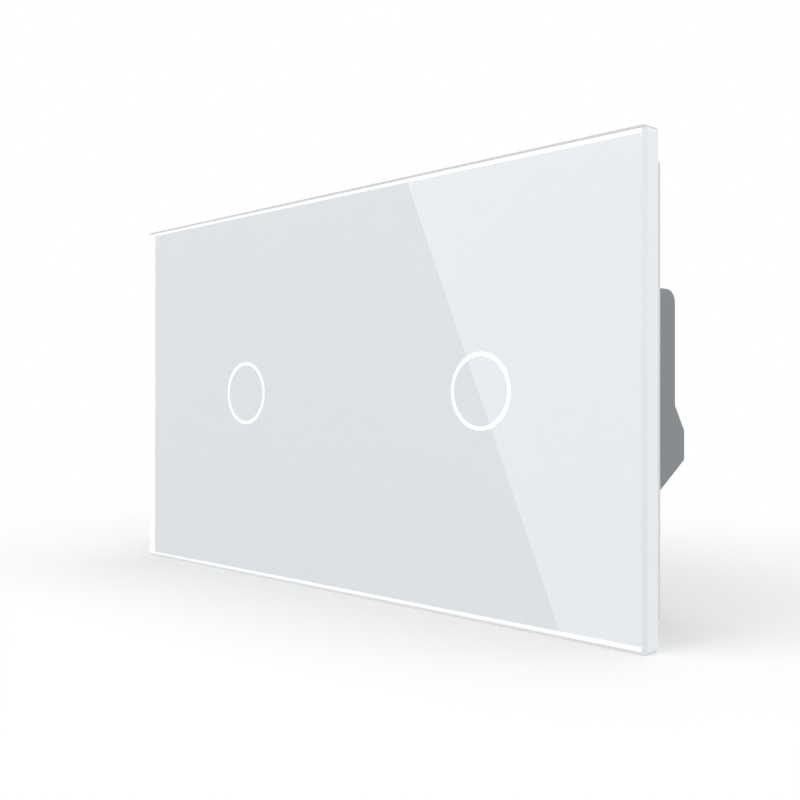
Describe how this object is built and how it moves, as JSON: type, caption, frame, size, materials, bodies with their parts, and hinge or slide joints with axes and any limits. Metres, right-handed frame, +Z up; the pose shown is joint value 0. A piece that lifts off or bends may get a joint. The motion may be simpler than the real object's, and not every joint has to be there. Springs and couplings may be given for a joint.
{
  "type": "dimmer switch",
  "caption": "Flush wall dimmer with a wide clear-fronted white glass panel, round touch rings and box-mounted inserts behind.",
  "frame": {"origin": "on the wall plane, midway between the two wall boxes", "axes": "+X to the right along the panel as seen from the front, +Y into the wall, +Z up"},
  "size_m": [0.148, 0.0351, 0.083],
  "materials": {
    "clear_glass": "polished, clear tempered glass with ground edges",
    "white_enamel": "smooth white enamel fired on the back of the glass",
    "ring_white": "brighter white translucent ring print",
    "white_plastic": "fine matt moulded",
    "zinc_steel": "bright zinc plated sheet",
    "cover_plastic": "fine matt moulded",
    "lens_plastic": "clear moulded light guide",
    "tinned_copper": "tinned",
    "circuit_board": "green solder mask on glass laminate",
    "lamp_resin": "clear resin over phosphor",
    "black_resin": "moulded epoxy",
    "grey_plastic": "fine spark-eroded texture, mid grey",
    "ferrite": "sintered, dull",
    "copper_wire": "enamelled winding wire",
    "capacitor_case": "moulded film capacitor case",
    "bare_aluminium": "mill finish sheet",
    "fuse_glass": "glass tube fuse",
    "terminal_plastic": "moulded insulator",
    "brass_bar": "plain stamped",
    "screw_steel": "zinc plated",
    "cage_steel": "zinc plated, pressed"
  },
  "bodies": {
    "inserts": {"board_header_left": "black_resin", "board_header_right": "black_resin", "choke_core_left": "ferrite", "choke_core_right": "ferrite", "choke_winding_left": "copper_wire", "choke_winding_right": "copper_wire", "contact_bars_left": "brass_bar", "contact_bars_right": "brass_bar", "cover_screws_left": "screw_steel", "cover_screws_right": "screw_steel", "filter_capacitor_left": "capacitor_case", "filter_capacitor_right": "capacitor_case", "front_cover_left": "cover_plastic", "front_cover_right": "cover_plastic", "fuse_left": "fuse_glass", "fuse_right": "fuse_glass", "heat_sink_left": "bare_aluminium", "heat_sink_right": "bare_aluminium", "indicator_leds_left": "lamp_resin", "indicator_leds_right": "lamp_resin", "light_guide_left": "lens_plastic", "light_guide_right": "lens_plastic", "mounting_plate_left": "zinc_steel", "mounting_plate_right": "zinc_steel", "power_board_left": "circuit_board", "power_board_right": "circuit_board", "power_transistors_left": "black_resin", "power_transistors_right": "black_resin", "rear_housing_left": "grey_plastic", "rear_housing_right": "grey_plastic", "terminal_block_left": "terminal_plastic", "terminal_block_right": "terminal_plastic", "touch_board_left": "circuit_board", "touch_board_right": "circuit_board", "touch_chips_left": "black_resin", "touch_chips_right": "black_resin", "touch_electrode_left": "tinned_copper", "touch_electrode_right": "tinned_copper"},
    "panel": {"glass_panel": "clear_glass", "back_print": "white_enamel", "touch_rings": "ring_white", "panel_frame": "white_plastic"},
    "terminal_screw_left_1": {"terminal_screw_left_1": "screw_steel"},
    "clamp_cage_left_1": {"clamp_cage_left_1": "cage_steel"},
    "terminal_screw_left_2": {"terminal_screw_left_2": "screw_steel"},
    "clamp_cage_left_2": {"clamp_cage_left_2": "cage_steel"},
    "terminal_screw_left_3": {"terminal_screw_left_3": "screw_steel"},
    "clamp_cage_left_3": {"clamp_cage_left_3": "cage_steel"},
    "terminal_screw_right_1": {"terminal_screw_right_1": "screw_steel"},
    "clamp_cage_right_1": {"clamp_cage_right_1": "cage_steel"},
    "terminal_screw_right_2": {"terminal_screw_right_2": "screw_steel"},
    "clamp_cage_right_2": {"clamp_cage_right_2": "cage_steel"},
    "terminal_screw_right_3": {"terminal_screw_right_3": "screw_steel"},
    "clamp_cage_right_3": {"clamp_cage_right_3": "cage_steel"}
  },
  "joints": [
    {"name": "panel_pull", "type": "slide", "parent": "inserts", "child": "panel", "axis": [0, -1, 0], "range_m": [0, 0.04]},
    {"name": "terminal_screw_left_1_turn", "type": "hinge", "parent": "inserts", "child": "terminal_screw_left_1", "pos_m": [-0.0445, 0.0115, -0.0155], "axis": [0, 0, 1], "range_deg": [0, 1440]},
    {"name": "clamp_cage_left_1_lower", "type": "slide", "parent": "inserts", "child": "clamp_cage_left_1", "axis": [0, 0, -1], "range_m": [0, 0.002]},
    {"name": "terminal_screw_left_2_turn", "type": "hinge", "parent": "inserts", "child": "terminal_screw_left_2", "pos_m": [-0.0355, 0.0115, -0.0155], "axis": [0, 0, 1], "range_deg": [0, 1440]},
    {"name": "clamp_cage_left_2_lower", "type": "slide", "parent": "inserts", "child": "clamp_cage_left_2", "axis": [0, 0, -1], "range_m": [0, 0.002]},
    {"name": "terminal_screw_left_3_turn", "type": "hinge", "parent": "inserts", "child": "terminal_screw_left_3", "pos_m": [-0.0265, 0.0115, -0.0155], "axis": [0, 0, 1], "range_deg": [0, 1440]},
    {"name": "clamp_cage_left_3_lower", "type": "slide", "parent": "inserts", "child": "clamp_cage_left_3", "axis": [0, 0, -1], "range_m": [0, 0.002]},
    {"name": "terminal_screw_right_1_turn", "type": "hinge", "parent": "inserts", "child": "terminal_screw_right_1", "pos_m": [0.0265, 0.0115, -0.0155], "axis": [0, 0, 1], "range_deg": [0, 1440]},
    {"name": "clamp_cage_right_1_lower", "type": "slide", "parent": "inserts", "child": "clamp_cage_right_1", "axis": [0, 0, -1], "range_m": [0, 0.002]},
    {"name": "terminal_screw_right_2_turn", "type": "hinge", "parent": "inserts", "child": "terminal_screw_right_2", "pos_m": [0.0355, 0.0115, -0.0155], "axis": [0, 0, 1], "range_deg": [0, 1440]},
    {"name": "clamp_cage_right_2_lower", "type": "slide", "parent": "inserts", "child": "clamp_cage_right_2", "axis": [0, 0, -1], "range_m": [0, 0.002]},
    {"name": "terminal_screw_right_3_turn", "type": "hinge", "parent": "inserts", "child": "terminal_screw_right_3", "pos_m": [0.0445, 0.0115, -0.0155], "axis": [0, 0, 1], "range_deg": [0, 1440]},
    {"name": "clamp_cage_right_3_lower", "type": "slide", "parent": "inserts", "child": "clamp_cage_right_3", "axis": [0, 0, -1], "range_m": [0, 0.002]}
  ],
  "couplings": [
    {"joint": "terminal_screw_left_1_turn", "follows": "clamp_cage_left_1_lower", "rad_per_m": 12566},
    {"joint": "terminal_screw_left_2_turn", "follows": "clamp_cage_left_2_lower", "rad_per_m": 12566},
    {"joint": "terminal_screw_left_3_turn", "follows": "clamp_cage_left_3_lower", "rad_per_m": 12566},
    {"joint": "terminal_screw_right_1_turn", "follows": "clamp_cage_right_1_lower", "rad_per_m": 12566},
    {"joint": "terminal_screw_right_2_turn", "follows": "clamp_cage_right_2_lower", "rad_per_m": 12566},
    {"joint": "terminal_screw_right_3_turn", "follows": "clamp_cage_right_3_lower", "rad_per_m": 12566}
  ]
}
